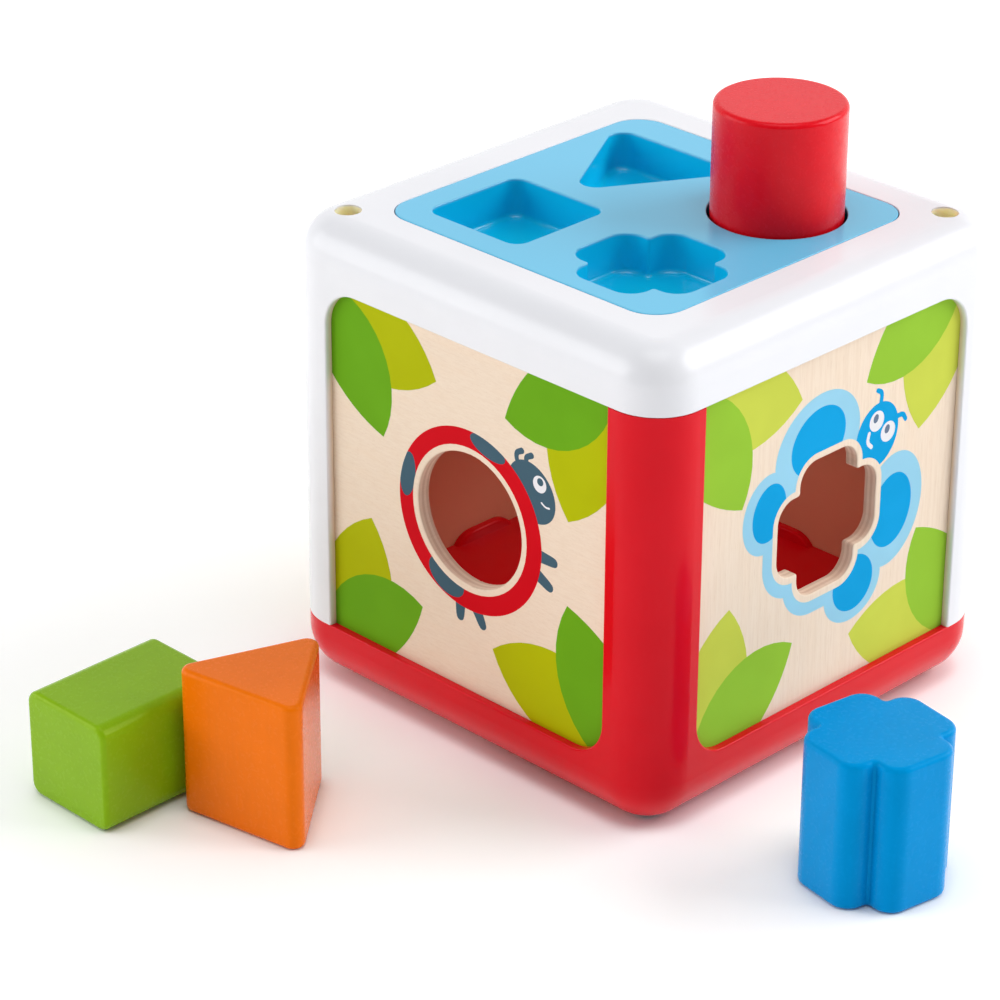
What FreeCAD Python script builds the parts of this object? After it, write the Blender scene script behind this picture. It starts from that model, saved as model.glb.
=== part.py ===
import FreeCAD, Part
import math
import os

from FreeCAD import Matrix, Placement, Rotation, Vector

# Shape sorter cube, in millimetres. +Z is up. The origin is the middle of the underside, in the
# plane that the box stands on. The round hole looks along -Y and the four-lobed hole along +X.

# ---- Outside of the box
SIDE = 150.0                # length, width and height
CORNER_R = 15.5             # upright corners
TOP_R = 11.5                # rounding of the top rim's outer edge
BOTTOM_R = 15.3             # rounding of the underside's outer edge
SKIN = 2.5                  # lips in front of the panels

# ---- Windows, one in each side
WINDOW_WHITE = 56.5         # from a side's middle line to its white post
WINDOW_RED = 55.8           # from a side's middle line to its red post
BASE_TOP = 20.15            # top of the base's rim and of the inner floor
RIM_BOTTOM = 131.35         # underside of the top rim
GUSSET_R = 12.0             # rounded window corners: the upper one at white posts, the lower at red
LIP_ROUND = 0.6             # rounding along the lips' outer edges

# ---- Plywood panels, which stand in grooves behind the lips
PANEL_T = 4.5
PANEL_FACE = 72.4           # distance from the middle of the box to a panel's outer face
PANEL_HALF = 60.6
PANEL_LOW = 16.4
PANEL_HIGH = 136.9
GROOVE_PLAY = 0.15          # room round a panel in its groove
HOLE_Z = 75.65              # height of the middle of each hole
HOLE_SHIFT = 0.3            # the holes sit this far to the right of the middle, seen from outside
HOLE_ROUND = 0.5            # broken edge of each hole

# ---- Inside of the mouldings
INNER_FACE = 64.8           # inner face of the rails that hold the panels from inside
POST_INNER = 54.6           # inner faces of the posts, behind the panels
FLOOR_T = 2.5
WELL_HALF = 58.0            # hollow underside of the base
WELL_R = 7.0
RIB_T = 2.0                 # two full-height ribs cross in the middle of the hollow
LOW_RIB_DEEP = 3.0          # shallow ribs under the floor, between the middle and the wall
LOW_RIB_AT = 29.0
TAB_HALF = 13.6             # low arched tabs on the floor, behind the panels
TAB_T = 2.4
TAB_HIGH = 3.5
TAB_R = 8.6                 # both ends of a tab slope down to the floor along this radius
TAB_ROUND = 0.9             # rounding along a tab's inner edge

# ---- Shapes of the holes, pockets and blocks (sharp sizes and corner radii)
HOLE_CIRCLE_R = 20.9
HOLE_SQUARE = (37.0, 4.5)           # side, corner radius
HOLE_TRIANGLE = (30.2, 5.0)         # distance from middle to sharp corner, corner radius
HOLE_CLOVER = (21.4, 12.3, 6.6, 1.0)    # lobe reach, lobe half width, outer radius, notch radius
POCKET_CIRCLE_R = 20.4
BLOCK_CIRCLE_R = 19.55
BLOCK_SQUARE = (34.0, 4.0)
BLOCK_TRIANGLE = (26.8, 3.5)
BLOCK_CLOVER = (20.35, 12.0, 6.1, 0.8)
BLOCK_LENGTH = 46.4
BLOCK_ROUND = 1.6

# ---- Lid
LID_HALF = 54.4
LID_R = 10.2
LID_T = 3.0
LID_GAP = 0.3               # gap between the lid and the rim
LID_ROUND = 0.3
POCKET_AT = 26.6            # distance of each pocket from the lid's middle lines
POCKET_DEEP = 12.2
POCKET_WALL = 1.8
POCKET_FLOOR = 2.0
POCKET_ROUND = 0.4          # rounded mouth of each pocket
POCKET_FILLET = 1.6         # rounded bottom edge of each pocket
LEDGE_IN = 51.6             # inner edge of the ledge that carries the lid
LEDGE_R = 6.0
LEDGE_T = 2.9
LEDGE_WALL = 57.8
SKIRT_OUT = 51.2            # skirt under the lid that centres it inside the ledge
SKIRT_T = 1.8
SKIRT_DEEP = 5.0
SKIRT_R = 5.6
CUP_NOTCH_R = 0.4           # inner corners of the clover pocket's outside
TRIANGLE_SHIFT = 0.5        # the triangular pocket sits this much nearer the middle in X
REST_GAP = 0.1              # between a loose piece and what it rests on

# ---- Screws, which run up or down inside the posts
POST_MIDDLE = 61.0
TOP_BORE_R = 4.0            # driver holes in the top, over the white posts
BOTTOM_BORE_R = 4.2         # driver holes in the underside, below the red posts
SCREW_WEB = 6.8             # thickness of plastic under each screw head
SCREW_SHANK_R = 1.75
SCREW_PILOT_R = 1.6
SCREW_CLEAR_R = 2.0
SCREW_LENGTH = 16.0
SCREW_HEAD_R = 3.3
SCREW_HEAD_T = 2.2
SCREW_HEAD_ROUND = 1.0
SCREW_POINT = 3.0           # length of the tapered point
SCREW_TIP_R = 0.4
SLOT_LONG = 3.6             # cross recess in the head
SLOT_WIDE = 0.9
SLOT_DEEP = 1.2
PILOT_DEEP = 11.0

# ---- Where the loose blocks lie on the ground
SQUARE_BLOCK_AT = (-54.4, -155.9)
TRIANGLE_BLOCK_AT = (-15.4, -138.05)
TRIANGLE_BLOCK_TURN = 69.9
CLOVER_BLOCK_AT = (127.9, -40.2)
CLOVER_BLOCK_TURN = -9.75

# ---- Worked out from the sizes above
HALF = SIDE / 2
PANEL_BACK = PANEL_FACE - PANEL_T
GROOVE_FRONT = PANEL_FACE + GROOVE_PLAY
GROOVE_BACK = PANEL_BACK - GROOVE_PLAY
LEDGE_TOP = SIDE - LID_T - REST_GAP
LEDGE_LOW = LEDGE_TOP - LEDGE_T
POCKET_LOW = SIDE - POCKET_DEEP
FLOOR_LOW = BASE_TOP - FLOOR_T
WHITE_POSTS = ((-1, -1), (1, 1))
RED_POSTS = ((1, -1), (-1, 1))
UP = Vector(0, 0, 1)


# ---------------------------------------------------------------- small helpers
def box(low, high):
    """Box between two corners."""
    size = [high[i] - low[i] for i in range(3)]
    return Part.makeBox(size[0], size[1], size[2], Vector(*low))


def cylinder(x, y, z_low, z_high, radius):
    return Part.makeCylinder(radius, z_high - z_low, Vector(x, y, z_low))


def rounded_face(corners, radii):
    """Flat face in z = 0 whose outline turns at each corner with that corner's radius."""
    count = len(corners)
    points = [Vector(x, y, 0) for x, y in corners]
    starts, middles, ends = [], [], []
    for i in range(count):
        before = (points[i - 1] - points[i]).normalize()
        after = (points[(i + 1) % count] - points[i]).normalize()
        half_angle = before.getAngle(after) / 2
        reach = radii[i] / math.tan(half_angle)
        inward = (before + after).normalize()
        centre = points[i] + inward * (radii[i] / math.sin(half_angle))
        starts.append(points[i] + before * reach)
        middles.append(centre - inward * radii[i])
        ends.append(points[i] + after * reach)
    edges = []
    for i in range(count):
        edges.append(Part.Arc(starts[i], middles[i], ends[i]).toShape())
        following = starts[(i + 1) % count]
        if (following - ends[i]).Length > 1e-6:
            edges.append(Part.LineSegment(ends[i], following).toShape())
    return Part.Face(Part.Wire(edges))


def square_face(side, radius):
    h = side / 2
    return rounded_face([(-h, -h), (h, -h), (h, h), (-h, h)], [radius] * 4)


def circle_face(radius):
    return Part.Face(Part.Wire(Part.makeCircle(radius)))


def triangle_face(reach, radius):
    """Equal-sided triangle, one corner towards -Y."""
    corners = []
    for degrees in (-90, 30, 150):
        angle = math.radians(degrees)
        corners.append((reach * math.cos(angle), reach * math.sin(angle)))
    return rounded_face(corners, [radius] * 3)


def clover_face(reach, half_width, outer_r, notch_r):
    """Four square lobes in a plus, with rounded outer corners and tight notches between them."""
    corners, radii = [], []
    for quarter in range(4):
        c = math.cos(math.radians(90 * quarter))
        s = math.sin(math.radians(90 * quarter))
        lobe = (
            (half_width, -half_width, notch_r),
            (reach, -half_width, outer_r),
            (reach, half_width, outer_r),
        )
        for x, y, r in lobe:
            corners.append((x * c - y * s, x * s + y * c))
            radii.append(r)
    return rounded_face(corners, radii)


def upright(face, x, y, z_low, z_high, turn=0.0):
    """Prism on the face, turned about its middle and moved to x, y."""
    prism = face.extrude(Vector(0, 0, z_high - z_low))
    prism.Placement = Placement(Vector(x, y, z_low), Rotation(UP, turn))
    return prism


def rounded_edges(shape, radius, wanted):
    """Rounds the edges that wanted(edge) picks."""
    edges = [e for e in shape.Edges if wanted(e)]
    return shape.makeFillet(radius, edges)


def all_at(edge, axis, value):
    """Whether the whole edge lies in the plane where that coordinate has that value."""
    low = (edge.BoundBox.XMin, edge.BoundBox.YMin, edge.BoundBox.ZMin)[axis]
    high = (edge.BoundBox.XMax, edge.BoundBox.YMax, edge.BoundBox.ZMax)[axis]
    return abs(low - value) < 1e-4 and abs(high - value) < 1e-4


def is_upright(edge):
    return edge.BoundBox.ZLength > 1 and edge.BoundBox.XLength < 1e-4 and edge.BoundBox.YLength < 1e-4


def joined(shapes):
    """One solid from several that touch or overlap."""
    result = shapes[0].multiFuse(shapes[1:])
    return one_solid(result.removeSplitter())


def one_solid(shape):
    """The single solid in a shape, or a plain error."""
    if len(shape.Solids) != 1:
        raise ValueError(f"expected one solid, found {len(shape.Solids)}")
    return shape.Solids[0]


def to_side(shape, quarter):
    """Copy of a shape made for the -Y side, turned about the upright axis to another side."""
    turned = shape.copy()
    turned.rotate(Vector(0, 0, 0), UP, 90.0 * quarter)
    return turned


# ---------------------------------------------------------------- the box
def outside():
    """The rounded cube that both mouldings are cut from."""
    cube = box((-HALF, -HALF, 0), (HALF, HALF, SIDE))
    cube = rounded_edges(cube, CORNER_R, is_upright)
    cube = rounded_edges(cube, TOP_R, lambda e: all_at(e, 2, SIDE))
    return rounded_edges(cube, BOTTOM_R, lambda e: all_at(e, 2, 0))


def post(cube, sx, sy, window):
    """Corner post between the rim and the base, on the corner with those signs."""
    behind_lip = HALF - SKIN
    columns = []
    for low_x, high_x, low_y, high_y in (
        (window, HALF, window, HALF),
        (POST_INNER, behind_lip, POST_INNER, behind_lip),
    ):
        x = sorted((sx * low_x, sx * high_x))
        y = sorted((sy * low_y, sy * high_y))
        columns.append(box((x[0], y[0], BASE_TOP), (x[1], y[1], RIM_BOTTOM)))
    return joined(columns).common(cube)


def grooves():
    """Room for the four panels."""
    room = box((-PANEL_HALF - GROOVE_PLAY, -GROOVE_FRONT, PANEL_LOW - GROOVE_PLAY),
               (PANEL_HALF + GROOVE_PLAY, -GROOVE_BACK, PANEL_HIGH + GROOVE_PLAY))
    return [to_side(room, quarter) for quarter in range(4)]


def gusset(side, window, z, up):
    """Fills the corner between a post and the rim or base with a concave arc, in the -Y lip."""
    x0 = side * window
    x1 = x0 - side * GUSSET_R
    z1 = z + up * GUSSET_R
    block = box((min(x0, x1), -HALF, min(z, z1)), (max(x0, x1), -HALF + SKIN, max(z, z1)))
    bite = Part.makeCylinder(GUSSET_R, SKIN + 2, Vector(x1, -HALF - 1, z1), Vector(0, 1, 0))
    return block.cut(bite)


def gussets(posts, window, z, up):
    """The two gussets beside each post, one in each of its faces."""
    shapes = []
    for sx, sy in posts:
        quarter = {(-1, -1): 0, (1, -1): 1, (1, 1): 2, (-1, 1): 3}[(sx, sy)]
        shapes.append(to_side(gusset(-1, window, z, up), quarter))
        shapes.append(to_side(gusset(1, window, z, up), quarter - 1))
    return shapes


def crossed_boxes(reach, width, z_low, z_high):
    """A plus-shaped room: clear to reach along each side, and kept off the four corners."""
    return [box((-reach, -width, z_low), (reach, width, z_high)),
            box((-width, -reach, z_low), (width, reach, z_high))]


def top_frame(cube):
    """White rim with two posts."""
    rim = cube.common(box((-HALF, -HALF, RIM_BOTTOM), (HALF, HALF, SIDE)))
    posts = [post(cube, sx, sy, WINDOW_WHITE) for sx, sy in WHITE_POSTS]
    body = joined([rim] + posts + gussets(WHITE_POSTS, WINDOW_WHITE, RIM_BOTTOM, -1))
    rooms = grooves()
    rooms += crossed_boxes(INNER_FACE, POST_INNER, BASE_TOP - 1, LEDGE_LOW)
    channel = box((-POST_INNER, -INNER_FACE, LEDGE_LOW - 1), (POST_INNER, -LEDGE_WALL, LEDGE_TOP))
    rooms += [to_side(channel, quarter) for quarter in range(4)]
    seat = square_face(2 * (LID_HALF + LID_GAP), LID_R + LID_GAP)
    rooms.append(upright(seat, 0, 0, LEDGE_TOP, SIDE + 1))
    rooms.append(upright(square_face(2 * LEDGE_IN, LEDGE_R), 0, 0, LEDGE_LOW - 1, LEDGE_TOP + 1))
    body = body.cut(rooms)
    for sx, sy in WHITE_POSTS:
        x, y = sx * POST_MIDDLE, sy * POST_MIDDLE
        seat_z = BASE_TOP + SCREW_WEB
        body = body.cut([cylinder(x, y, seat_z, SIDE + 1, TOP_BORE_R),
                         cylinder(x, y, BASE_TOP - 1, seat_z + 1, SCREW_CLEAR_R)])
    for sx, sy in RED_POSTS:
        x, y = sx * POST_MIDDLE, sy * POST_MIDDLE
        body = body.cut(cylinder(x, y, RIM_BOTTOM - 1, RIM_BOTTOM + PILOT_DEEP, SCREW_PILOT_R))
    body = one_solid(body.removeSplitter())
    body = rounded_edges(body, LIP_ROUND, lambda e: on_lip(e, RIM_BOTTOM))
    return rounded_edges(body, LID_ROUND, is_seat_edge)


def on_lip(edge, level):
    """Outer edges of a moulding along the windows: level stretches, gusset arcs and post sides."""
    b = edge.BoundBox
    outside_face = max(abs(b.XMin), abs(b.XMax), abs(b.YMin), abs(b.YMax)) > HALF - 1e-3
    if all_at(edge, 2, level):
        middle = edge.valueAt((edge.FirstParameter + edge.LastParameter) / 2)
        flat_reach = max(abs(middle.x), abs(middle.y))
        round_reach = math.hypot(abs(middle.x) - HALF + CORNER_R, abs(middle.y) - HALF + CORNER_R)
        at_corner = min(abs(middle.x), abs(middle.y)) > HALF - CORNER_R
        return abs(round_reach - CORNER_R) < 1e-3 if at_corner else flat_reach > HALF - 1e-3
    in_face = any(abs(abs(low) - HALF) < 1e-3 and abs(high - low) < 1e-3
                  for low, high in ((b.XMin, b.XMax), (b.YMin, b.YMax)))
    inside_window = b.ZMin > BASE_TOP - 1e-3 and b.ZMax < RIM_BOTTOM + 1e-3
    across = min(max(abs(b.XMin), abs(b.XMax)), max(abs(b.YMin), abs(b.YMax)))
    return outside_face and in_face and inside_window and across < WINDOW_WHITE + 1e-3 and b.ZLength > 1


def is_seat_edge(edge):
    """Top edge of the opening that the lid sits in."""
    if not all_at(edge, 2, SIDE):
        return False
    middle = edge.valueAt((edge.FirstParameter + edge.LastParameter) / 2)
    reach = max(abs(middle.x), abs(middle.y))
    return LID_HALF - LID_R < reach < LID_HALF + LID_GAP + 0.01 and edge.Length > 5


def underside_rooms():
    """Hollow under the floor, left and right of the ribs."""
    well = upright(square_face(2 * WELL_HALF, WELL_R), 0, 0, -1, FLOOR_LOW)
    ribs = []
    low_rib = FLOOR_LOW - LOW_RIB_DEEP
    for at, low in ((-LOW_RIB_AT, low_rib), (0, -2), (LOW_RIB_AT, low_rib)):
        ribs.append(box((at - RIB_T / 2, -HALF, low), (at + RIB_T / 2, HALF, FLOOR_LOW + 1)))
        ribs.append(box((-HALF, at - RIB_T / 2, low), (HALF, at + RIB_T / 2, FLOOR_LOW + 1)))
    return well.cut(ribs)


def tab():
    """Low arched tab on the floor, behind the -Y panel. Its foot is sunk into the floor."""
    foot = TAB_HIGH - TAB_R - 2
    corners = [(-TAB_HALF, foot), (TAB_HALF, foot), (TAB_HALF, TAB_HIGH), (-TAB_HALF, TAB_HIGH)]
    outline = rounded_face(corners, [0.4, 0.4, TAB_R, TAB_R])
    plate = outline.extrude(Vector(0, 0, TAB_T))
    plate.rotate(Vector(0, 0, 0), Vector(1, 0, 0), 90)
    plate.translate(Vector(0, -GROOVE_BACK + TAB_T, BASE_TOP))
    plate = rounded_edges(plate, TAB_ROUND, lambda e: all_at(e, 1, -GROOVE_BACK + TAB_T))
    return plate.common(box((-HALF, -HALF, BASE_TOP - FLOOR_T / 2), (HALF, HALF, SIDE)))


def base_frame(cube):
    """Red base with its floor and two posts."""
    rim = cube.common(box((-HALF, -HALF, 0), (HALF, HALF, BASE_TOP)))
    posts = [post(cube, sx, sy, WINDOW_RED) for sx, sy in RED_POSTS]
    body = joined([rim] + posts + gussets(RED_POSTS, WINDOW_RED, BASE_TOP, 1))
    body = body.cut(grooves() + [underside_rooms()])
    for sx, sy in RED_POSTS:
        x, y = sx * POST_MIDDLE, sy * POST_MIDDLE
        seat_z = RIM_BOTTOM - SCREW_WEB
        body = body.cut(cylinder(x, y, -1, seat_z, BOTTOM_BORE_R))
        body = body.cut(cylinder(x, y, seat_z - 1, RIM_BOTTOM + 1, SCREW_CLEAR_R))
    for sx, sy in WHITE_POSTS:
        x, y = sx * POST_MIDDLE, sy * POST_MIDDLE
        body = body.cut(cylinder(x, y, BASE_TOP - PILOT_DEEP, BASE_TOP + 1, SCREW_PILOT_R))
    body = one_solid(body.removeSplitter())
    body = rounded_edges(body, LIP_ROUND, lambda e: on_lip(e, BASE_TOP))
    return joined([body] + [to_side(tab(), quarter) for quarter in range(4)])


def panel(hole, quarter):
    """Plywood panel with that hole, made for the -Y side and turned to its own side."""
    board = box((-PANEL_HALF, -PANEL_FACE, PANEL_LOW), (PANEL_HALF, -PANEL_BACK, PANEL_HIGH))
    cutter = hole.extrude(Vector(0, 0, PANEL_T + 2))
    cutter.rotate(Vector(0, 0, 0), Vector(1, 0, 0), 90)
    cutter.translate(Vector(HOLE_SHIFT, -PANEL_BACK + 1, HOLE_Z))
    board = one_solid(board.cut(cutter))

    def at_hole(edge):
        b = edge.BoundBox
        inside = max(abs(b.XMin), abs(b.XMax)) < PANEL_HALF - 1 and b.ZMin > PANEL_LOW + 1
        return inside and (all_at(edge, 1, -PANEL_FACE) or all_at(edge, 1, -PANEL_BACK))

    return to_side(rounded_edges(board, HOLE_ROUND, at_hole), quarter)


def screw(x, y, seat_z, up):
    """Pan-head screw on its seat, with its point towards +Z or -Z."""
    axis = Vector(0, 0, up)
    head_z = seat_z - up * SCREW_HEAD_T
    head = Part.makeCylinder(SCREW_HEAD_R, SCREW_HEAD_T, Vector(x, y, head_z), axis)
    rim = [e for e in head.Edges if all_at(e, 2, head_z) and e.Length > 1]
    head = head.makeFillet(SCREW_HEAD_ROUND, rim)
    slot_low = min(head_z, head_z + up * SLOT_DEEP)
    for long_x, long_y in ((SLOT_LONG, SLOT_WIDE), (SLOT_WIDE, SLOT_LONG)):
        corner = Vector(x - long_x / 2, y - long_y / 2, slot_low)
        head = head.cut(Part.makeBox(long_x, long_y, SLOT_DEEP, corner))
    straight = SCREW_LENGTH - SCREW_POINT
    shank = Part.makeCylinder(SCREW_SHANK_R, straight, Vector(x, y, seat_z), axis)
    point_at = Vector(x, y, seat_z + up * straight)
    point = Part.makeCone(SCREW_SHANK_R, SCREW_TIP_R, SCREW_POINT, point_at, axis)
    return joined([head, shank, point])


def frame_screws():
    """Two screws down through the white posts, two up through the red posts."""
    screws = []
    for sx, sy in WHITE_POSTS:
        screws.append(screw(sx * POST_MIDDLE, sy * POST_MIDDLE, BASE_TOP + SCREW_WEB, -1))
    for sx, sy in RED_POSTS:
        screws.append(screw(sx * POST_MIDDLE, sy * POST_MIDDLE, RIM_BOTTOM - SCREW_WEB, 1))
    return Part.makeCompound(screws)


# ---------------------------------------------------------------- the lid
def lid_places():
    """Each pocket: its face, the same face one wall thickness larger, and its middle."""
    reach, half_width, outer_r, notch_r = HOLE_CLOVER
    wall = POCKET_WALL
    clover_cup = clover_face(reach + wall, half_width + wall, outer_r + wall, CUP_NOTCH_R)
    triangle_cup = triangle_face(HOLE_TRIANGLE[0] + 2 * wall, HOLE_TRIANGLE[1] + wall)
    square_cup = square_face(HOLE_SQUARE[0] + 2 * wall, HOLE_SQUARE[1] + wall)
    return [
        (square_face(*HOLE_SQUARE), square_cup, -POCKET_AT, -POCKET_AT),
        (triangle_face(*HOLE_TRIANGLE), triangle_cup, -POCKET_AT + TRIANGLE_SHIFT, POCKET_AT),
        (clover_face(*HOLE_CLOVER), clover_cup, POCKET_AT, -POCKET_AT),
        (circle_face(POCKET_CIRCLE_R), circle_face(POCKET_CIRCLE_R + wall), POCKET_AT, POCKET_AT),
    ]


def lid_tray():
    """Blue lid with four blind pockets."""
    low = SIDE - LID_T
    plate = upright(square_face(2 * LID_HALF, LID_R), 0, 0, low, SIDE)
    plate = rounded_edges(plate, LID_ROUND, lambda e: all_at(e, 2, SIDE))
    skirt = upright(square_face(2 * SKIRT_OUT, SKIRT_R), 0, 0, low - SKIRT_DEEP, low)
    skirt_room = square_face(2 * (SKIRT_OUT - SKIRT_T), SKIRT_R - SKIRT_T)
    skirt = skirt.cut(upright(skirt_room, 0, 0, low - SKIRT_DEEP - 1, low))
    cups = [upright(cup, x, y, POCKET_LOW - POCKET_FLOOR, low) for _, cup, x, y in lid_places()]
    body = joined([plate, skirt] + cups)
    for face, _, x, y in lid_places():
        room = upright(face, x, y, POCKET_LOW, SIDE + 1)
        room = rounded_edges(room, POCKET_FILLET, lambda e: all_at(e, 2, POCKET_LOW))
        body = body.cut(room)
    body = one_solid(body)

    def at_mouth(edge):
        b = edge.BoundBox
        reach = max(abs(b.XMin), abs(b.XMax), abs(b.YMin), abs(b.YMax))
        return all_at(edge, 2, SIDE) and reach < LID_HALF - 2

    return rounded_edges(body, POCKET_ROUND, at_mouth)


# ---------------------------------------------------------------- the blocks
def block(face):
    """Wooden block standing on z = 0 with rounded end edges."""
    prism = face.extrude(Vector(0, 0, BLOCK_LENGTH))
    return rounded_edges(prism, BLOCK_ROUND, lambda e: all_at(e, 2, 0) or all_at(e, 2, BLOCK_LENGTH))


def placed(shape, x, y, z, turn=0.0):
    moved = shape.copy()
    moved.rotate(Vector(0, 0, 0), UP, turn)
    moved.translate(Vector(x, y, z))
    return moved


def square_block():
    """Lies on its side, with its length along Y."""
    lying = block(square_face(*BLOCK_SQUARE))
    lying.rotate(Vector(0, 0, 0), Vector(1, 0, 0), 90)
    x, y = SQUARE_BLOCK_AT
    return placed(lying, x, y + BLOCK_LENGTH / 2, BLOCK_SQUARE[0] / 2)


# ---------------------------------------------------------------- writing
def main():
    os.makedirs("parts", exist_ok=True)
    cube = outside()
    hole_triangle = triangle_face(*HOLE_TRIANGLE)
    hole_triangle.rotate(Vector(0, 0, 0), UP, 180)
    cylinder_place = (POCKET_AT, POCKET_AT, POCKET_LOW + REST_GAP)
    triangle_place = (*TRIANGLE_BLOCK_AT, 0, TRIANGLE_BLOCK_TURN)
    clover_place = (*CLOVER_BLOCK_AT, 0, CLOVER_BLOCK_TURN)
    nodes = {
        "top_frame": top_frame(cube),
        "base_frame": base_frame(cube),
        "panel_circle": panel(circle_face(HOLE_CIRCLE_R), 0),
        "panel_clover": panel(clover_face(*HOLE_CLOVER), 1),
        "panel_triangle": panel(hole_triangle, 2),
        "panel_square": panel(square_face(*HOLE_SQUARE), 3),
        "frame_screws": frame_screws(),
        "lid_tray": lid_tray(),
        "cylinder_block": placed(block(circle_face(BLOCK_CIRCLE_R)), *cylinder_place),
        "square_block": square_block(),
        "triangle_block": placed(block(triangle_face(*BLOCK_TRIANGLE)), *triangle_place),
        "clover_block": placed(block(clover_face(*BLOCK_CLOVER)), *clover_place),
    }
    for name, shape in nodes.items():
        shape.exportStep(f"parts/{name}.step")
        print(name, len(shape.Solids), "solid(s), volume", round(shape.Volume), "valid", shape.isValid())


main()
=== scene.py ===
import math

import bmesh
import bpy
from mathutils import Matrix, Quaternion, Vector
from mathutils.geometry import delaunay_2d_cdt


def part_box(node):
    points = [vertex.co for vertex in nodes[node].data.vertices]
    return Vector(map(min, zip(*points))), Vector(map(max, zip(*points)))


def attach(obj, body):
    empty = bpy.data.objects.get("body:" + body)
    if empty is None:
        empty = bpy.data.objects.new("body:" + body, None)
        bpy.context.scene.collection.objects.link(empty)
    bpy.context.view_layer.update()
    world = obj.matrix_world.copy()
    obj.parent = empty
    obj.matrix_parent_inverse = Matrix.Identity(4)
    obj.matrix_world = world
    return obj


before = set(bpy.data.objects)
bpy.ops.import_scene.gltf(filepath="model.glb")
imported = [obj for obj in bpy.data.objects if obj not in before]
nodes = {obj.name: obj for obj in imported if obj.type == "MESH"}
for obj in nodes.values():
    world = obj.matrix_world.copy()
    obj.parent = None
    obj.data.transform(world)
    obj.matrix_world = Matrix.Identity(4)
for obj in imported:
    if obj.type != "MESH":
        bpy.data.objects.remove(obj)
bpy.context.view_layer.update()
MM = 0.001

# ---- The box's own sizes, from its CAD pieces, in metres
box_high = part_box("top_frame")[1]
lid_low, lid_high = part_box("lid_tray")
panel_low, panel_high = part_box("panel_circle")
HALF = box_high.x
TOP = box_high.z
LID_TOP = lid_high.z
LID_LOW = lid_low.z
PANEL_FACE = -panel_low.y
PANEL_BACK = -panel_high.y
PANEL_T = PANEL_FACE - PANEL_BACK
WINDOW = 57.3 * MM              # from a panel's middle to the end of the white window edge
WINDOW_TOP = 132.25 * MM        # height of the rim's lower edge, with the rounding under it
BORE_AT = 61.0 * MM             # distance of the screw holes from the box's middle planes
BORE_R = 4.0 * MM

# ---- Camera, at the photograph's angle
AZIMUTH = 44.83                 # degrees from the front towards the right
ELEVATION = 26.98
ROLL = 0.27
LENS = 137.2                    # millimetres, on a 36 mm sensor
CAMERA_AT = Vector((0.6890, -0.7527, 0.5751))

# ---- Light: radiance of the room, of the backdrop and of the floor's own glow, and each softbox
ROOM = 0.41
FRONT_ROOM = 0.45               # share of the room's light on the camera's side
FRONT_SIDE = (-0.95, -0.20)     # where that share ends, as the cosine to the far side
BACKDROP = 0.55
BACKDROP_TOP = (26.0, 38.0)     # elevation where the backdrop starts to fade and where it ends
BACKDROP_SIDE = (0.35, 0.75)    # where it fades in from the sides, as the same cosine
FLOOR_GLOW = (0.19, 0.36)       # the floor's own glow under the object and far from it; weaker near the object, as painted shade
GLOW_REACH = (0.12, 0.45)       # distances from the middle where it starts and stops to rise
CONTACT = 7.0 * MM              # reach of the painted contact shadow, where the floor's glow is dimmed by a piece standing on it
LEFT_LIGHT = 0.42
RIGHT_LIGHT = 0.68
TOP_LIGHT = 0.25
LIGHT_AWAY = 2.6                # distance of each softbox
INNER_LIGHT = 1.0               # red light inside the box, as if through its thin red walls


def back_vector(azimuth, elevation):
    """Direction from the object to a camera or light at that azimuth and elevation."""
    a, e = math.radians(azimuth), math.radians(elevation)
    return Vector((math.sin(a) * math.cos(e), -math.cos(a) * math.cos(e), math.sin(e)))


def make_camera():
    data = bpy.data.cameras.new("camera")
    data.lens = LENS
    data.sensor_width = 36.0
    data.clip_start = 0.05
    data.clip_end = 60.0
    camera = bpy.data.objects.new("camera", data)
    bpy.context.scene.collection.objects.link(camera)
    camera.location = CAMERA_AT
    camera.rotation_mode = "QUATERNION"
    aim = (-back_vector(AZIMUTH, ELEVATION)).to_track_quat("-Z", "Y")
    camera.rotation_quaternion = aim @ Quaternion((0, 0, 1), math.radians(ROLL))
    bpy.context.scene.camera = camera


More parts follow.
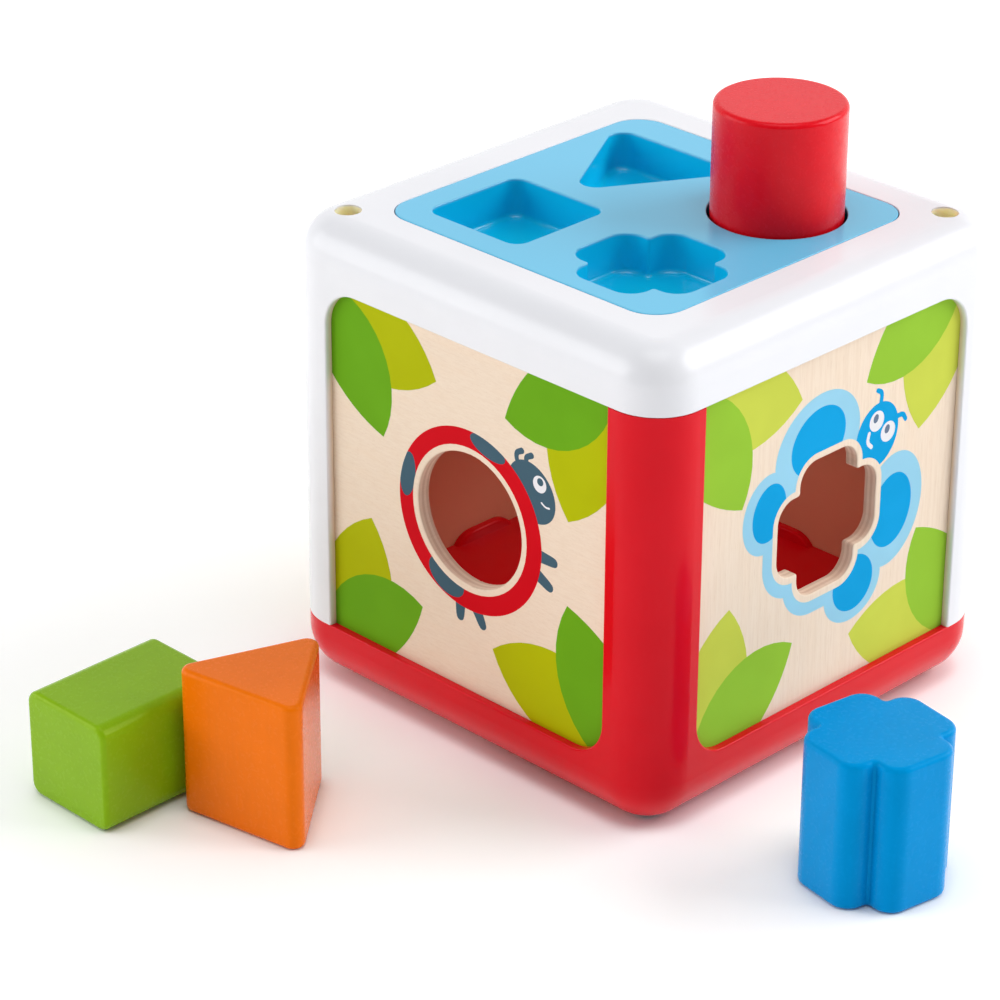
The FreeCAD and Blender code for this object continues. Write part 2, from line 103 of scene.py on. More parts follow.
# ---------------------------------------------------------------- node helpers
class Shader:
    """A procedural material around one Principled shader."""

    def __init__(self, name, roughness, specular=0.5, tint=(1.0, 1.0, 1.0)):
        self.material = bpy.data.materials.new(name)
        self.material.use_nodes = True
        self.tree = self.material.node_tree
        self.out = self.tree.nodes["Principled BSDF"]
        self.out.inputs["Roughness"].default_value = roughness
        self.out.inputs["Specular IOR Level"].default_value = specular
        self.out.inputs["Specular Tint"].default_value = (*tint, 1.0)

    def add(self, kind, **values):
        node = self.tree.nodes.new(kind)
        for key, value in values.items():
            setattr(node, key, value)
        return node

    def put(self, socket, value):
        """Links a socket, or sets a plain value."""
        if isinstance(value, bpy.types.NodeSocket):
            self.tree.links.new(value, socket)
        elif hasattr(value, "__len__") and len(value) == 3 and socket.type == "RGBA":
            socket.default_value = (*value, 1.0)
        else:
            socket.default_value = value

    def place(self):
        """Place on the piece, in the row frame, in metres."""
        return self.add("ShaderNodeTexCoord").outputs["Object"]

    def parts(self, vector):
        node = self.add("ShaderNodeSeparateXYZ")
        self.put(node.inputs[0], vector)
        return node.outputs["X"], node.outputs["Y"], node.outputs["Z"]

    def join(self, x, y, z):
        node = self.add("ShaderNodeCombineXYZ")
        for socket, value in zip(node.inputs, (x, y, z)):
            self.put(socket, value)
        return node.outputs[0]

    def math(self, operation, a, b=0.0, c=0.0):
        node = self.add("ShaderNodeMath", operation=operation)
        for socket, value in zip(node.inputs, (a, b, c)):
            self.put(socket, value)
        return node.outputs[0]

    def scaled(self, vector, scale):
        node = self.add("ShaderNodeMapping")
        self.put(node.inputs["Vector"], vector)
        node.inputs["Scale"].default_value = scale
        return node.outputs[0]

    def noise(self, vector, scale=1.0, detail=2.0, rough=0.5):
        node = self.add("ShaderNodeTexNoise")
        self.put(node.inputs["Vector"], vector)
        node.inputs["Scale"].default_value = scale
        node.inputs["Detail"].default_value = detail
        node.inputs["Roughness"].default_value = rough
        return node.outputs["Fac"]

    def ramp(self, factor, low, high, a=0.0, b=1.0):
        """Smooth step of the factor from low to high, giving a to b."""
        node = self.add("ShaderNodeMapRange", interpolation_type="SMOOTHSTEP")
        for socket, value in zip(node.inputs, (factor, low, high, a, b)):
            self.put(socket, value)
        return node.outputs[0]

    def mix(self, factor, a, b):
        node = self.add("ShaderNodeMix", data_type="RGBA")
        self.put(node.inputs[0], factor)
        self.put(node.inputs[6], a)
        self.put(node.inputs[7], b)
        return node.outputs[2]

    def length(self, x, y):
        return self.math("SQRT", self.math("ADD", self.math("MULTIPLY", x, x), self.math("MULTIPLY", y, y)))

    def openness(self, reach, low, high, **values):
        """0 in a corner and 1 in the open, from how much stands within reach."""
        node = self.add("ShaderNodeAmbientOcclusion", samples=8, **values)
        node.inputs["Distance"].default_value = reach
        return self.ramp(node.outputs["AO"], low, high)

    def colour(self, value):
        self.put(self.out.inputs["Base Color"], value)

    def roughness(self, value):
        self.put(self.out.inputs["Roughness"], value)

    def bump(self, height, depth, strength):
        """Height from 0 to 1 raises the surface by depth metres."""
        node = self.add("ShaderNodeBump")
        node.inputs["Strength"].default_value = strength
        node.inputs["Distance"].default_value = depth
        self.put(node.inputs["Height"], height)
        self.put(self.out.inputs["Normal"], node.outputs[0])


# ---------------------------------------------------------------- materials
PLIES = 5.0                     # layers in the plywood


def moulded(name, base, deeper, roughness, specular=0.5, tint=(1.0, 1.0, 1.0)):
    """Moulded plastic: slight clouding in colour and gloss and a very fine surface."""
    s = Shader(name, roughness, specular, tint)
    place = s.place()
    cloud = s.noise(place, scale=38.0, detail=3.0)
    fine = s.noise(place, scale=1400.0, detail=2.0)
    s.surface = s.mix(s.ramp(cloud, 0.3, 0.7), base, deeper)
    s.colour(s.surface)
    s.roughness(s.ramp(cloud, 0.25, 0.75, roughness * 0.92, roughness * 1.10))
    s.bump(fine, 0.01 * MM, 0.35)
    return s


def shade_white(s):
    """Painted warm light on the window edges by the panels, standing in for light reflected from the wood,
    and a painted warm glow at the screw holes, where the plastic also scatters light under its surface.
    """
    x, y, z = s.parts(s.place())
    x, y = s.math("ABSOLUTE", x), s.math("ABSOLUTE", y)
    far, near = s.math("MAXIMUM", x, y), s.math("MINIMUM", x, y)
    # painted warm light on the window edges next to the panels, as if reflected from the wood
    edge = s.ramp(far, PANEL_FACE + 0.1 * MM, PANEL_FACE + 2.2 * MM, 0.70, 0.0)
    edge = s.math("MULTIPLY", edge, s.ramp(near, WINDOW - 0.3 * MM, WINDOW + 0.3 * MM, 1.0, 0.0))
    edge = s.math("MULTIPLY", edge, s.ramp(z, WINDOW_TOP - 0.25 * MM, WINDOW_TOP + 0.25 * MM, 1.0, 0.0))
    with_painted_bounce = s.mix(edge, s.surface, (0.74, 0.50, 0.22))
    # painted warm glow in the screw holes, standing in for light let through the white plastic; the
    # subsurface scattering there is real
    away = s.length(s.math("SUBTRACT", x, BORE_AT), s.math("SUBTRACT", y, BORE_AT))
    bore = s.ramp(away, BORE_R, BORE_R + 0.3 * MM, 1.0, 0.0)
    bore = s.math("MULTIPLY", bore, s.ramp(z, TOP - 0.8 * MM, TOP - 0.1 * MM, 1.0, 0.0))
    s.colour(s.mix(bore, with_painted_bounce, (0.96, 0.86, 0.62)))
    s.put(s.out.inputs["Subsurface Weight"], bore)
    s.out.inputs["Subsurface Radius"].default_value = (1.0, 0.85, 0.60)
    s.out.inputs["Subsurface Scale"].default_value = 6.0 * MM


def shade_blue(s):
    """Painted sheen: the lid's top face slightly lighter than its pockets and sides."""
    _, _, z = s.parts(s.place())
    top = s.ramp(z, LID_TOP - 1.0 * MM, LID_TOP - 0.2 * MM)
    # painted sheen: a paler blue on the top face
    s.colour(s.mix(top, s.surface, (0.125, 0.540, 0.805)))


def painted(name, base, along, specular, tint):
    """Satin paint, slightly uneven like orange peel, over wood whose grain runs along axis 0, 1 or 2, with
    painted shade in its grooves and corners.
    """
    s = Shader(name, 0.24, specular, tint)
    place = s.place()
    stretch = [600.0, 600.0, 600.0]
    stretch[along] = 90.0
    streaks = s.noise(s.scaled(place, stretch), detail=3.0, rough=0.6)
    peel = s.noise(place, scale=750.0, detail=2.0)
    cloud = s.noise(place, scale=60.0, detail=2.0)
    shade = s.math("MULTIPLY_ADD", streaks, 0.4, s.math("MULTIPLY", cloud, 0.6))
    colour = s.mix(s.ramp(shade, 0.35, 0.65), base, tuple(0.95 * c for c in base))
    # painted shade: the paint darkens to 0.30 of its colour in grooves and corners
    unshaded_part = s.openness(5.0 * MM, 0.25, 0.80, only_local=True)
    s.colour(s.mix(unshaded_part, tuple(0.30 * c for c in base), colour))
    s.roughness(s.ramp(peel, 0.3, 0.7, 0.20, 0.29))
    height = s.math("MULTIPLY_ADD", peel, 0.7, s.math("MULTIPLY", streaks, 0.3))
    s.bump(height, 0.03 * MM, 0.5)
    return s


def steel(name):
    """Zinc-plated screws."""
    s = Shader(name, 0.35)
    s.out.inputs["Metallic"].default_value = 1.0
    marks = s.noise(s.scaled(s.place(), (900.0, 900.0, 90.0)), detail=2.0)
    s.colour(s.mix(marks, (0.62, 0.63, 0.66), (0.48, 0.49, 0.52)))
    s.roughness(s.ramp(marks, 0.3, 0.7, 0.28, 0.45))
    return s


def plywood(name, across, grain_scale, streaks):
    """Birch plywood panel.

    across is the level axis in its plane, 0 or 1. grain_scale is the grain's fineness across, up and
    through, and streaks how plainly it shows.
    """
    s = Shader(name, 0.5, 0.3)
    x, y, z = s.parts(s.place())
    u, depth = (x, y) if across == 0 else (y, x)
    depth = s.math("ABSOLUTE", depth)
    flat_place = s.join(u, z, 0.0)
    grain = s.noise(s.scaled(flat_place, grain_scale), detail=4.0, rough=0.65)
    pores = s.noise(s.scaled(flat_place, [4 * scale for scale in grain_scale]), detail=2.0)
    cloud = s.noise(s.scaled(flat_place, [0.1 * scale for scale in grain_scale]), scale=2.0, detail=2.0)
    wood = s.mix(s.ramp(grain, 0.35, 0.7, 0.0, streaks), (0.890, 0.735, 0.585), (0.800, 0.625, 0.470))
    wood = s.mix(s.ramp(cloud, 0.45, 0.75, 0.0, 0.40), wood, (0.875, 0.690, 0.525))
    wood = s.mix(s.ramp(pores, 0.60, 0.72, 0.0, 0.22), wood, (0.60, 0.41, 0.27))
    share = s.math("DIVIDE", s.math("SUBTRACT", depth, PANEL_BACK), PANEL_T)    # 0 inside, 1 outside
    # painted light: the inner face is warmer, standing in for red light that bounces inside the box
    wood = s.mix(s.ramp(share, 0.03, 0.01), wood, (0.82, 0.52, 0.33))
    bands = s.math("PINGPONG", s.math("MULTIPLY", share, PLIES), 1.0)
    bands = s.math("MULTIPLY", s.ramp(bands, 0.35, 0.65), s.ramp(share, 0.985, 0.93))
    bands = s.math("MULTIPLY", bands, s.ramp(share, 0.01, 0.03))
    s.colour(s.mix(s.math("MULTIPLY", bands, 0.34), wood, (0.50, 0.30, 0.16)))
    s.bump(grain, 0.02 * MM, 0.25)
    return s


def finish_nodes():
    """Gives every CAD node its material."""
    white = moulded("white_plastic", (0.845, 0.850, 0.888), (0.830, 0.835, 0.874), 0.25, 0.40)
    shade_white(white)
    red = moulded("red_plastic", (0.745, 0.003, 0.012), (0.715, 0.002, 0.010), 0.15, 0.30, (1.0, 0.4, 0.45))
    blue = moulded("blue_plastic", (0.003, 0.555, 0.850), (0.002, 0.535, 0.825), 0.17)
    shade_blue(blue)
    ply_left = plywood("plywood_left", 0, (220.0, 1300.0, 1.0), 0.45)
    ply_right = plywood("plywood_right", 1, (900.0, 45.0, 1.0), 0.55)
    ply_back = plywood("plywood_back", 0, (900.0, 45.0, 1.0), 0.55)
    looks = {
        "top_frame": white,
        "base_frame": red,
        "lid_tray": blue,
        "panel_circle": ply_left,
        "panel_triangle": ply_back,
        "panel_clover": ply_right,
        "panel_square": ply_right,
        "frame_screws": steel("screw_steel"),
        "cylinder_block": painted("red_paint", (0.800, 0.002, 0.010), 2, 0.28, (1.0, 0.6, 0.7)),
        "square_block": painted("green_paint", (0.250, 0.475, 0.005), 1, 0.25, (1.0, 1.0, 0.3)),
        "triangle_block": painted("orange_paint", (0.950, 0.185, 0.001), 2, 0.25, (1.0, 0.7, 0.3)),
        "clover_block": painted("blue_paint", (0.000, 0.300, 0.710), 2, 0.15, (0.0, 0.6, 1.0)),
    }
    for name, shader in looks.items():
        for slot in nodes[name].material_slots:
            slot.material = shader.material


# ---------------------------------------------------------------- printed pictures
# Outlines are in metres on a panel's face: u to the right as seen from outside, v up from the
# ground. The pictures are plain shapes in flat colours, printed in one layer.
INK_T = 0.03 * MM           # thickness of the printed layer
PRINT_IN = 0.4 * MM         # the print stops this far inside the panel's edges
RIM_IN = 2.0 * MM           # points nearer than this to the panel's edges are not the hole's
BARE = 2.3                  # bare wood round the four-lobed hole, in millimetres
HEM = 6.3                   # pale blue round the same hole, in millimetres
CDT_INSIDE = 1              # keeps the triangles inside the outlines
CDT_SAME = 1e-7             # points nearer than this are one
ARC_STEPS = 16              # points along a leaf's side
CORNER_STEPS = 14           # points round a corner

# Each side as quarter turns from the front of the box
QUARTERS = {"panel_circle": 0, "panel_clover": 1, "panel_triangle": 2, "panel_square": 3}


def bent(start, end, rise):
    """Points of an arc from start nearly to end, rising to the right of its way."""
    chord = math.dist(start, end)
    radius = (chord * chord / 4 + rise * rise) / (2 * rise)
    half = math.asin(chord / 2 / radius)
    along = ((end[0] - start[0]) / chord, (end[1] - start[1]) / chord)
    points = []
    for i in range(ARC_STEPS):
        angle = half * (2 * i / ARC_STEPS - 1)
        way = chord / 2 + radius * math.sin(angle)
        out = radius * (math.cos(angle) - 1) + rise
        u = start[0] + way * along[0] + out * along[1]
        v = start[1] + way * along[1] - out * along[0]
        points.append((u, v))
    return points


def leaf(tip, heading, length, right, left):
    """Leaf from its tip to a far end, whose sides bulge by right and left."""
    a = math.radians(heading)
    end = (tip[0] + length * math.cos(a), tip[1] + length * math.sin(a))
    return bent(tip, end, right) + bent(end, tip, left)


def oval(u, v, half_u, half_v, turn=0.0, count=56):
    """Outline of an oval; turn is in degrees, anticlockwise."""
    c, s = math.cos(math.radians(turn)), math.sin(math.radians(turn))
    points = []
    for i in range(count):
        a = 2 * math.pi * i / count
        x, y = half_u * math.cos(a), half_v * math.sin(a)
        points.append((u + x * c - y * s, v + x * s + y * c))
    return points


def around(centres, radius):
    """Outline round discs of one radius whose middles turn anticlockwise."""
    points = []
    for i, (u, v) in enumerate(centres):
        before, after = centres[i - 1], centres[(i + 1) % len(centres)]
        start = math.atan2(v - before[1], u - before[0]) - math.pi / 2
        end = math.atan2(after[1] - v, after[0] - u) - math.pi / 2
        sweep = (end - start) % (2 * math.pi)
        for k in range(CORNER_STEPS + 1):
            a = start + sweep * k / CORNER_STEPS
            points.append((u + radius * math.cos(a), v + radius * math.sin(a)))
    return points


def rounded_box(u, v, half_u, half_v, radius):
    a, b = half_u - radius, half_v - radius
    return around([(u - a, v - b), (u + a, v - b), (u + a, v + b), (u - a, v + b)], radius)


def stroke(points, width, end_width):
    """Line with round ends through a few points, tapering to end_width."""
    path = [Vector(p) for p in points]
    for _ in range(3):
        finer = [path[0]]
        for a, b in zip(path, path[1:]):
            finer += [a * 0.75 + b * 0.25, a * 0.25 + b * 0.75]
        path = finer + [path[-1]]
    last = len(path) - 1
    sides = []
    for i, here in enumerate(path):
        way = (path[min(i + 1, last)] - path[max(i - 1, 0)]).normalized()
        half = (width + (end_width - width) * i / last) / 2
        sides.append((here, way, Vector((way.y, -way.x)), half))
    outline = [here + right * half for here, way, right, half in sides]
    for i, turned in ((last, 1), (0, -1)):
        here, way, right, half = sides[i]
        for k in range(1, 8):
            a = math.pi * k / 8
            outline.append(here + (right * math.cos(a) + way * math.sin(a)) * half * turned)
        if i == last:
            outline += [here + right * -half for here, way, right, half in sides[::-1]]
    return [tuple(p) for p in outline]


class Picture:
    """Flat shapes on one panel; where they cross, the later one shows."""

    def __init__(self, panel):
        self.panel = panel
        self.outlines = []
        self.shapes = []
        self.u, self.v = self.hole_middle()

    def hole_middle(self):
        """Middle of the panel's hole, from the points of the panel's mesh that are not on its rim."""
        quarter = QUARTERS[self.panel]
        spots = [flat(quarter, p.co) for p in nodes[self.panel].data.vertices]
        reach = max(u for u, _ in spots) - RIM_IN
        low, high = min(v for _, v in spots) + RIM_IN, max(v for _, v in spots) - RIM_IN
        inside = [(u, v) for u, v in spots if abs(u) < reach and low < v < high]
        middle_u = (min(u for u, _ in inside) + max(u for u, _ in inside)) / 2
        middle_v = (min(v for _, v in inside) + max(v for _, v in inside)) / 2
        return middle_u, middle_v

    def at(self, u, v):
        """Point that many millimetres from the hole's middle."""
        return (self.u + u * MM, self.v + v * MM)

    def outline(self, points):
        self.outlines.append([Vector(p) for p in points])
        return len(self.outlines) - 1

    def add(self, ink, points, within=None):
        """Adds a shape in that ink, or bare wood for no ink; within is another outline's points."""
        inside = None if within is None else self.outline(within)
        self.shapes.append((ink, self.outline(points), inside))

    def ink_of(self, found):
        """Ink that shows where these outlines cover each other."""
        shown = None
        for ink, shape, inside in self.shapes:
            if shape in found and (inside is None or inside in found):
                shown = ink
        return shown

    def make(self):
        """Cuts all outlines with each other and makes one thin closed piece for each ink."""
        edge = panel_high.x - PRINT_IN
        middle = (panel_low.z + panel_high.z) / 2
        sheet = self.outline(rounded_box(0, middle, edge, middle - panel_low.z - PRINT_IN, MM))
        points, faces = [], []
        for line in self.outlines:
            faces.append(list(range(len(points), len(points) + len(line))))
            points += line
        cut = delaunay_2d_cdt(points, [], faces, CDT_INSIDE, CDT_SAME, True)
        corners, triangles, sources = cut[0], cut[2], cut[5]
        by_ink = {}
        for triangle, found in zip(triangles, sources):
            ink = self.ink_of(found) if sheet in found else None
            if ink is not None:
                by_ink.setdefault(ink, []).append(triangle)
        for ink, chosen in by_ink.items():
            self.plate(ink, corners, chosen)

    def plate(self, ink, corners, triangles):
        """Thin closed piece over these triangles, as a print on the panel's face."""
        quarter = QUARTERS[self.panel]
        mesh = bmesh.new()
        levels = []
        for out in (0.0, INK_T):
            spots = {}
            for triangle in triangles:
                for i in triangle:
                    if i not in spots:
                        spots[i] = mesh.verts.new(on_side(quarter, corners[i].x, corners[i].y, out))
            levels.append(spots)
        low, high = levels
        rims = {}
        for triangle in triangles:
            mesh.faces.new([high[i] for i in triangle])
            mesh.faces.new([low[i] for i in reversed(triangle)])
            for a, b in zip(triangle, triangle[1:] + triangle[:1]):
                if (b, a) in rims:
                    del rims[(b, a)]
                else:
                    rims[(a, b)] = True
        for a, b in rims:
            mesh.faces.new([low[a], low[b], high[b], high[a]])
        data = bpy.data.meshes.new("print_" + self.panel[6:] + "_" + ink)
        mesh.to_mesh(data)
        mesh.free()
        data.materials.append(inks[self.panel][ink])
        piece = bpy.data.objects.new(data.name, data)
        bpy.context.scene.collection.objects.link(piece)
        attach(piece, "box")


def flat(quarter, place):
    """Place in space to u and v on that side of the box."""
    x, y = place.x, place.y
    return ((x, place.z), (y, place.z), (-x, place.z), (-y, place.z))[quarter]


def on_side(quarter, u, v, out):
    """Point on that side's panel, standing out by that much."""
    y = -(PANEL_FACE + out)
    x, y = ((u, y), (-y, u), (-u, -y), (y, -u))[quarter]
    return Vector((x, y, v))


INK_COLOURS = {
    "leaf_deep": (0.150, 0.405, 0.010),
    "leaf_pale": (0.465, 0.505, 0.001),
    "red": (0.660, 0.002, 0.010),
    "slate": (0.060, 0.122, 0.168),
    "white": (0.860, 0.850, 0.880),
    "sky": (0.325, 0.650, 0.835),
    "blue": (0.000, 0.360, 0.745),
    "grey": (0.150, 0.200, 0.300),
    "amber": (0.800, 0.330, 0.010),
}
LIT_COLOURS = {                 # painted light: the two greens are paler on two of the panels, lit copies of the same inks
    "leaf_deep": (0.310, 0.570, 0.040),
    "leaf_pale": (0.600, 0.665, 0.080),
}
inks = {}


def ink_material(name, colour):
    """Flat silk-screen ink with a slight sheen, over the wood's faint grain."""
    s = Shader("ink_" + name, 0.55, 0.04)
    place = s.place()
    cloud = s.noise(place, scale=45.0, detail=2.0)
    fine = s.noise(place, scale=900.0, detail=2.0)
    deeper = tuple(c * 0.95 for c in colour)
    s.colour(s.mix(s.ramp(cloud, 0.35, 0.65), colour, deeper))
    s.roughness(s.ramp(cloud, 0.3, 0.7, 0.46, 0.54))
    s.bump(fine, 0.008 * MM, 0.4)
    return s.material


def make_inks():
    plain = {name: ink_material(name, colour) for name, colour in INK_COLOURS.items()}
    lit = dict(plain)
    for name, colour in LIT_COLOURS.items():
        lit[name] = ink_material(name + "_lit", colour)
    inks.update(panel_circle=plain, panel_triangle=plain, panel_clover=lit, panel_square=lit)


def add_leaves(picture, deep_tips, pale_tips, deep_lengths=(53, 53, 53, 53)):
    """A pale leaf partly behind a deep green one in each corner, turned by a quarter each time."""
    for corner, tip in enumerate(pale_tips):
        heading = 167.0 - 90.0 * corner
        picture.add("leaf_pale", leaf(picture.at(*tip), heading, 60 * MM, 15 * MM, 15 * MM))
    for corner, tip in enumerate(deep_tips):
        heading = 129.7 - 90.0 * corner
        long = deep_lengths[corner] * MM
        picture.add("leaf_deep", leaf(picture.at(*tip), heading, long, long * 0.345, long * 0.155))


def spot(picture, ink, u, v, half_u, half_v=None, turn=0.0, within=None):
    """Oval whose middle and half sizes are in millimetres."""
    middle = picture.at(u, v)
    picture.add(ink, oval(*middle, half_u * MM, (half_v or half_u) * MM, turn), within)


def line(picture, ink, points, width, end_width=None):
    end_width = width if end_width is None else end_width
    picture.add(ink, stroke([picture.at(*p) for p in points], width * MM, end_width * MM))


def ladybird():
    """Red ring with dark spots round the round hole, with a small head and four legs."""
    picture = Picture("panel_circle")
    add_leaves(picture, ((-35.3, 14.4), (14.2, 37.4), (39.2, -12.6), (-19.3, -35.6)),
               ((-13.3, 39.4), (39.2, 13.9), (9.7, -38.1), (-40.8, -14.1)), (53, 53, 61, 53))
    spot(picture, "slate", 24.9, 18.1, 10.0, 8.3, -42)
    line(picture, "slate", [(19.8, 24), (18.4, 28.2), (20.9, 29.6)], 1.5, 1.9)
    line(picture, "slate", [(23.6, 25), (22.2, 28), (24.7, 29.4)], 1.5, 1.9)
    for leg in (((28, -0.8), (33.8, -1.0)), ((27, -6.8), (32.2, -9.4)),
                ((-3.5, -28), (-3.6, -32.3)), ((3.4, -28), (5.6, -32.0))):
        line(picture, "slate", leg, 4.2, 3.0)
    ring = oval(*picture.at(0.2, -0.2), 28.8 * MM, 28.8 * MM, count=96)
    picture.add("red", ring)
    for u, v, half_u, half_v, turn in ((7.4, 25.5, 7.2, 2.9, -14), (-25.2, 6.1, 7.4, 3.1, 82),
                                       (-9.3, -21.6, 7.6, 5.0, -24)):
        spot(picture, "slate", u, v, half_u, half_v, turn, ring)
    spot(picture, None, 0, 0, 23.1)
    spot(picture, "white", 28.0, 21.6, 2.6)
    spot(picture, "slate", 28.2, 22.4, 1.2)
    line(picture, "white", [(28.8, 16.1), (30.3, 15.2), (31.8, 15.4)], 0.6)
    picture.make()


def clover_outline(picture, grow):
    """The two crossing rounded boxes that make up the four-lobed hole, grown by that much."""
    u, v = picture.at(0, 0)
    reach, half, radius = [(value + grow) * MM for value in (21.4, 12.3, 6.6)]
    return rounded_box(u, v, reach, half, radius), rounded_box(u, v, half, reach, radius)


def butterfly():
    """Four rounded blue wings and a round head about the four-lobed hole."""
    picture = Picture("panel_clover")
    add_leaves(picture, ((-37.3, 16.9), (14.7, 38.9), (41.2, -17.0), (-13.3, -34.6)),
               ((-13.3, 42.9), (39.7, 15.9), (12.2, -41.6), (-41.3, -13.1)))
    lower_left = [picture.at(*p) for p in ((-34, 26), (-34, -34), (26, -34))]
    for box in clover_outline(picture, HEM):
        picture.add("sky", box, lower_left)
    for u, v, half_u, half_v, turn in ((-5.6, 25.8, 18.4, 16.0, 20), (-26.3, 11.6, 10.4, 12.5, -12),
                                       (28.6, -6.4, 13.8, 18.2, -12), (12.7, -25.6, 12.6, 11.2, 12)):
        spot(picture, "sky", u, v, half_u, half_v, turn)
    for u, v, half_u, half_v, turn in ((-5.4, 27.3, 11.8, 10.2, 20), (-25.6, 11.6, 7.0, 9.0, -12),
                                       (28.7, -6.6, 9.1, 11.7, -10), (12.9, -24.8, 8.9, 8.9, 0)):
        spot(picture, "blue", u, v, half_u, half_v, turn)
    line(picture, "blue", [(21.4, 29), (22.2, 33.4), (19.9, 34.7)], 1.8, 1.4)
    line(picture, "blue", [(29.0, 23.4), (32.0, 23.5), (33.4, 21.2)], 1.8, 1.4)
    spot(picture, "blue", 20.6, 20.2, 9.3, 10.4, -18)
    for u, v in ((20.2, 24.9), (25.5, 19.9)):
        spot(picture, "white", u, v, 3.2)
        spot(picture, "grey", u - 0.4, v + 0.9, 1.1, 1.4, -20)
    line(picture, "white", [(17.0, 21.9), (16.3, 19.2), (18.3, 17.3)], 1.3)
    for box in clover_outline(picture, BARE):
        picture.add(None, box)
    picture.make()


def bee():
    """Amber frame with dark bands round the square hole, two wings and a head. This side is hidden."""
    picture = Picture("panel_square")
    add_leaves(picture, ((-37.0, 16.0), (15.0, 38.0), (40.0, -14.0), (-16.0, -35.0)),
               ((-13.0, 41.0), (39.5, 15.0), (11.0, -40.0), (-41.0, -13.5)))
    for u, turn in ((-12.0, 28.0), (5.0, -28.0)):
        spot(picture, "sky", u, 30.0, 8.0, 13.0, turn)
        spot(picture, "blue", u, 29.5, 4.6, 9.0, turn)
    spot(picture, "slate", 27.0, 14.0, 9.2, 9.2)
    line(picture, "slate", [(29, 21), (31, 26), (34, 27)], 1.5, 1.9)
    line(picture, "slate", [(25, 22), (25.5, 27), (28, 29)], 1.5, 1.9)
    for leg in (((27, -9), (32.5, -11)), ((-8, -26), (-9, -31.5)), ((8, -26), (9, -31.5))):
        line(picture, "slate", leg, 4.2, 3.0)
    u, v = picture.at(0, 0)
    frame_line = rounded_box(u, v, 27.0 * MM, 27.0 * MM, 12.0 * MM)
    picture.add("amber", frame_line)
    for middle in (-16.0, 0.0, 16.0):
        band = rounded_box(u + middle * MM, v, 3.4 * MM, 29.0 * MM, 2.0 * MM)
        picture.add("slate", band, frame_line)
    picture.add(None, rounded_box(u, v, 20.8 * MM, 20.8 * MM, 6.8 * MM))
    spot(picture, "white", 29.2, 16.8, 2.6)
    spot(picture, "slate", 29.5, 17.6, 1.2)
    line(picture, "white", [(28.4, 10.4), (30.4, 9.4), (32.2, 10.0)], 0.7)
    picture.make()


def bird():
    """Blue frame round the triangular hole with a head, a beak, a tail and feet. This side is hidden."""
    picture = Picture("panel_triangle")
    add_leaves(picture, ((-36.0, 15.0), (14.5, 38.0), (40.0, -13.5), (-18.0, -35.0)),
               ((-13.5, 40.0), (39.5, 14.5), (10.5, -39.0), (-41.0, -14.0)))
    line(picture, "amber", [(9.0, 29.5), (16.5, 27.5)], 5.4, 1.6)
    spot(picture, "blue", 1.0, 28.0, 9.6, 9.6)
    for u in (-7.0, 7.0):
        line(picture, "amber", [(u, -24), (u + 1.0, -32.0)], 2.6, 3.4)
    for turn in (-18.0, 8.0, 34.0):
        spot(picture, "sky", -30.0, -16.0 + turn * 0.1, 11.0, 3.6, turn)
    corners = [(math.radians(a), 20.2 * MM) for a in (-150, -30, 90)]
    u, v = picture.at(0, -5.05)
    centres = [(u + r * math.cos(a), v + r * math.sin(a)) for a, r in corners]
    picture.add("blue", around(centres, 13.0 * MM))
    picture.add(None, around(centres, 7.3 * MM))
    spot(picture, "white", 3.4, 30.6, 2.6)
    spot(picture, "slate", 3.8, 31.2, 1.2)
    picture.make()


def print_panels():
    make_inks()
    ladybird()
    butterfly()
    bee()
    bird()


# ---------------------------------------------------------------- studio
def make_floor():
    size = 15.0
    mesh = bpy.data.meshes.new("floor")
    corners = [(-size, -size, 0), (size, -size, 0), (size, size, 0), (-size, size, 0)]
    mesh.from_pydata(corners, [], [(0, 1, 2, 3)])
    floor = bpy.data.objects.new("floor", mesh)
    bpy.context.scene.collection.objects.link(floor)
    s = Shader("floor", 0.6, 0.15)
    place = s.place()
    s.colour(s.mix(s.noise(place, scale=3.0), (0.94, 0.94, 0.94), (0.93, 0.93, 0.93)))
    x, y, _ = s.parts(place)
    s.out.inputs["Emission Color"].default_value = (1, 1, 1, 1)
    # painted light and shade: the floor glows, less near the object, and less still within CONTACT of a
    # piece as a painted contact shadow
    glow = s.ramp(s.length(x, y), *GLOW_REACH, *FLOOR_GLOW)
    glow = s.math("MULTIPLY", glow, s.openness(CONTACT, 0.40, 0.90))
    s.put(s.out.inputs["Emission Strength"], glow)
    mesh.materials.append(s.material)


def softbox(name, azimuth, elevation, width, height, strength):
    """Large soft light; strength is what it adds to a white surface that faces it."""
    data = bpy.data.lights.new(name, "AREA")
    data.shape = "RECTANGLE"
    data.size = width
    data.size_y = height
    data.energy = strength * math.pi * math.pi * LIGHT_AWAY * LIGHT_AWAY
    light = bpy.data.objects.new(name, data)
    bpy.context.scene.collection.objects.link(light)
    towards = back_vector(azimuth, elevation)
    light.location = Vector((0, 0, TOP / 2)) + towards * LIGHT_AWAY
    light.rotation_mode = "QUATERNION"
    light.rotation_quaternion = (-towards).to_track_quat("-Z", "Y")
    light.visible_camera = False


def make_inner_light():
    """Soft light under the lid that brightens the inside of the box."""
    data = bpy.data.lights.new("inner_light", "AREA")
    data.shape = "SQUARE"
    data.size = HALF
    data.energy = INNER_LIGHT * math.pi * HALF * HALF
    data.color = (1.0, 0.32, 0.27)
    data.spread = math.radians(110.0)
    light = bpy.data.objects.new("inner_light", data)
    bpy.context.scene.collection.objects.link(light)
    light.location = (0, 0, LID_LOW - 4 * MM)
    light.visible_camera = False


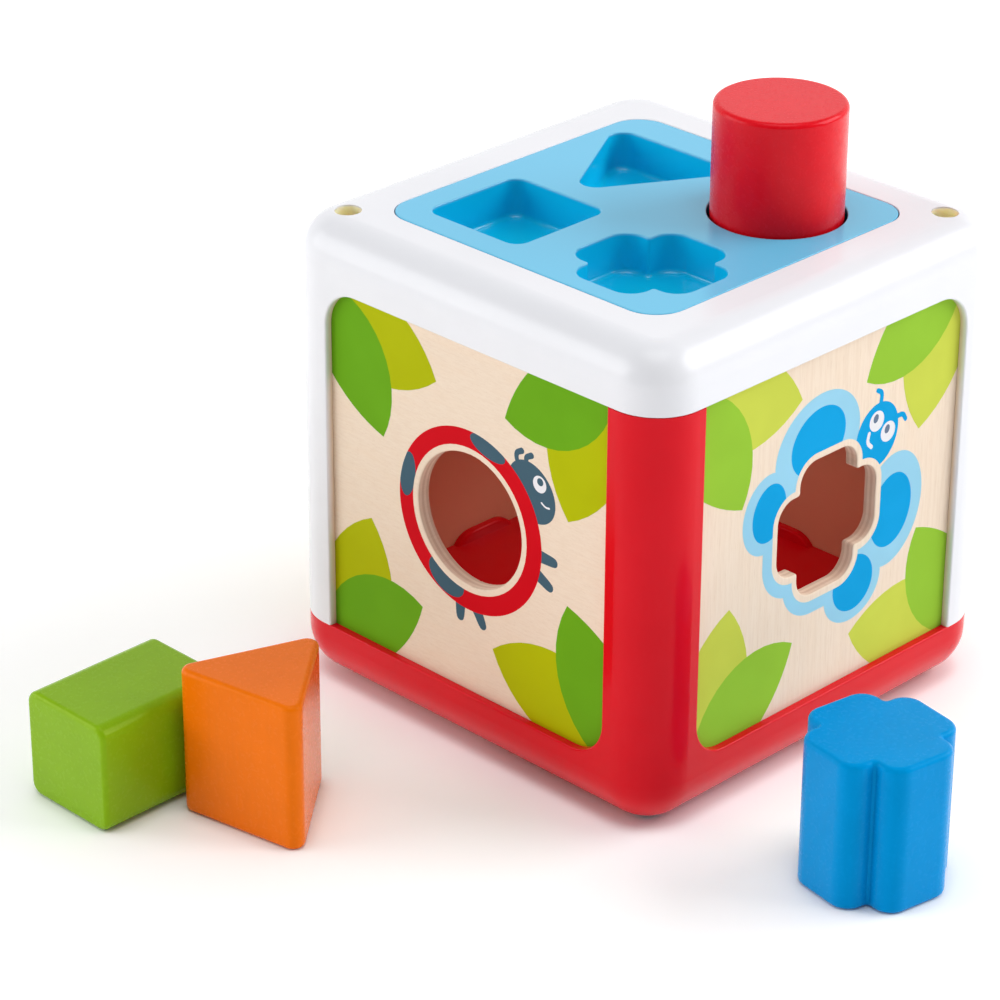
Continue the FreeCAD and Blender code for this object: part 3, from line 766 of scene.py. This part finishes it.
def make_world():
    """Soft grey room with a bright backdrop low behind the object; the camera sees plain white."""
    world = bpy.data.worlds.new("studio")
    world.use_nodes = True
    bpy.context.scene.world = world
    tree = world.node_tree
    background = tree.nodes["Background"]

    def node(kind, **values):
        made = tree.nodes.new(kind)
        for key, value in values.items():
            setattr(made, key, value)
        return made

    def linked(kind, operation, *values):
        made = node(kind, operation=operation)
        for socket, value in zip(made.inputs, values):
            if isinstance(value, bpy.types.NodeSocket):
                tree.links.new(value, socket)
            else:
                socket.default_value = value
        return made

    def step(value, low, high, a, b):
        made = node("ShaderNodeMapRange", interpolation_type="SMOOTHSTEP")
        tree.links.new(value, made.inputs[0])
        for socket, number in zip(made.inputs[1:], (low, high, a, b)):
            socket.default_value = number
        return made.outputs[0]

    direction = node("ShaderNodeTexCoord").outputs["Generated"]
    split = node("ShaderNodeSeparateXYZ")
    tree.links.new(direction, split.inputs[0])
    height = split.outputs["Z"]
    behind = back_vector(AZIMUTH + 180.0, 0.0)
    along = linked("ShaderNodeVectorMath", "DOT_PRODUCT", direction, behind).outputs["Value"]
    low_part = step(height, *[math.sin(math.radians(e)) for e in BACKDROP_TOP], 1, 0)
    rear_part = step(along, *BACKDROP_SIDE, 0, 1)
    glow = linked("ShaderNodeMath", "MULTIPLY", low_part, rear_part).outputs[0]
    glow = linked("ShaderNodeMath", "MULTIPLY_ADD", glow, BACKDROP, ROOM).outputs[0]
    front = step(along, *FRONT_SIDE, FRONT_ROOM, 1.0)
    light = linked("ShaderNodeMath", "MULTIPLY", glow, front).outputs[0]
    shown = node("ShaderNodeMix", data_type="FLOAT")
    tree.links.new(node("ShaderNodeLightPath").outputs["Is Camera Ray"], shown.inputs[0])
    tree.links.new(light, shown.inputs[2])
    shown.inputs[3].default_value = 1.0
    tree.links.new(shown.outputs[0], background.inputs["Strength"])
    background.inputs["Color"].default_value = (1, 1, 1, 1)


def make_light():
    make_world()
    softbox("softbox_left", AZIMUTH - 88.0, 20.0, 2.0, 1.5, LEFT_LIGHT)
    softbox("softbox_right", AZIMUTH + 96.0, 33.0, 2.0, 1.5, RIGHT_LIGHT)
    softbox("overhead", AZIMUTH, 80.0, 1.6, 1.6, TOP_LIGHT)
    make_inner_light()


make_camera()
make_floor()
make_light()
finish_nodes()
print_panels()
bpy.context.scene.view_settings.view_transform = "Standard"
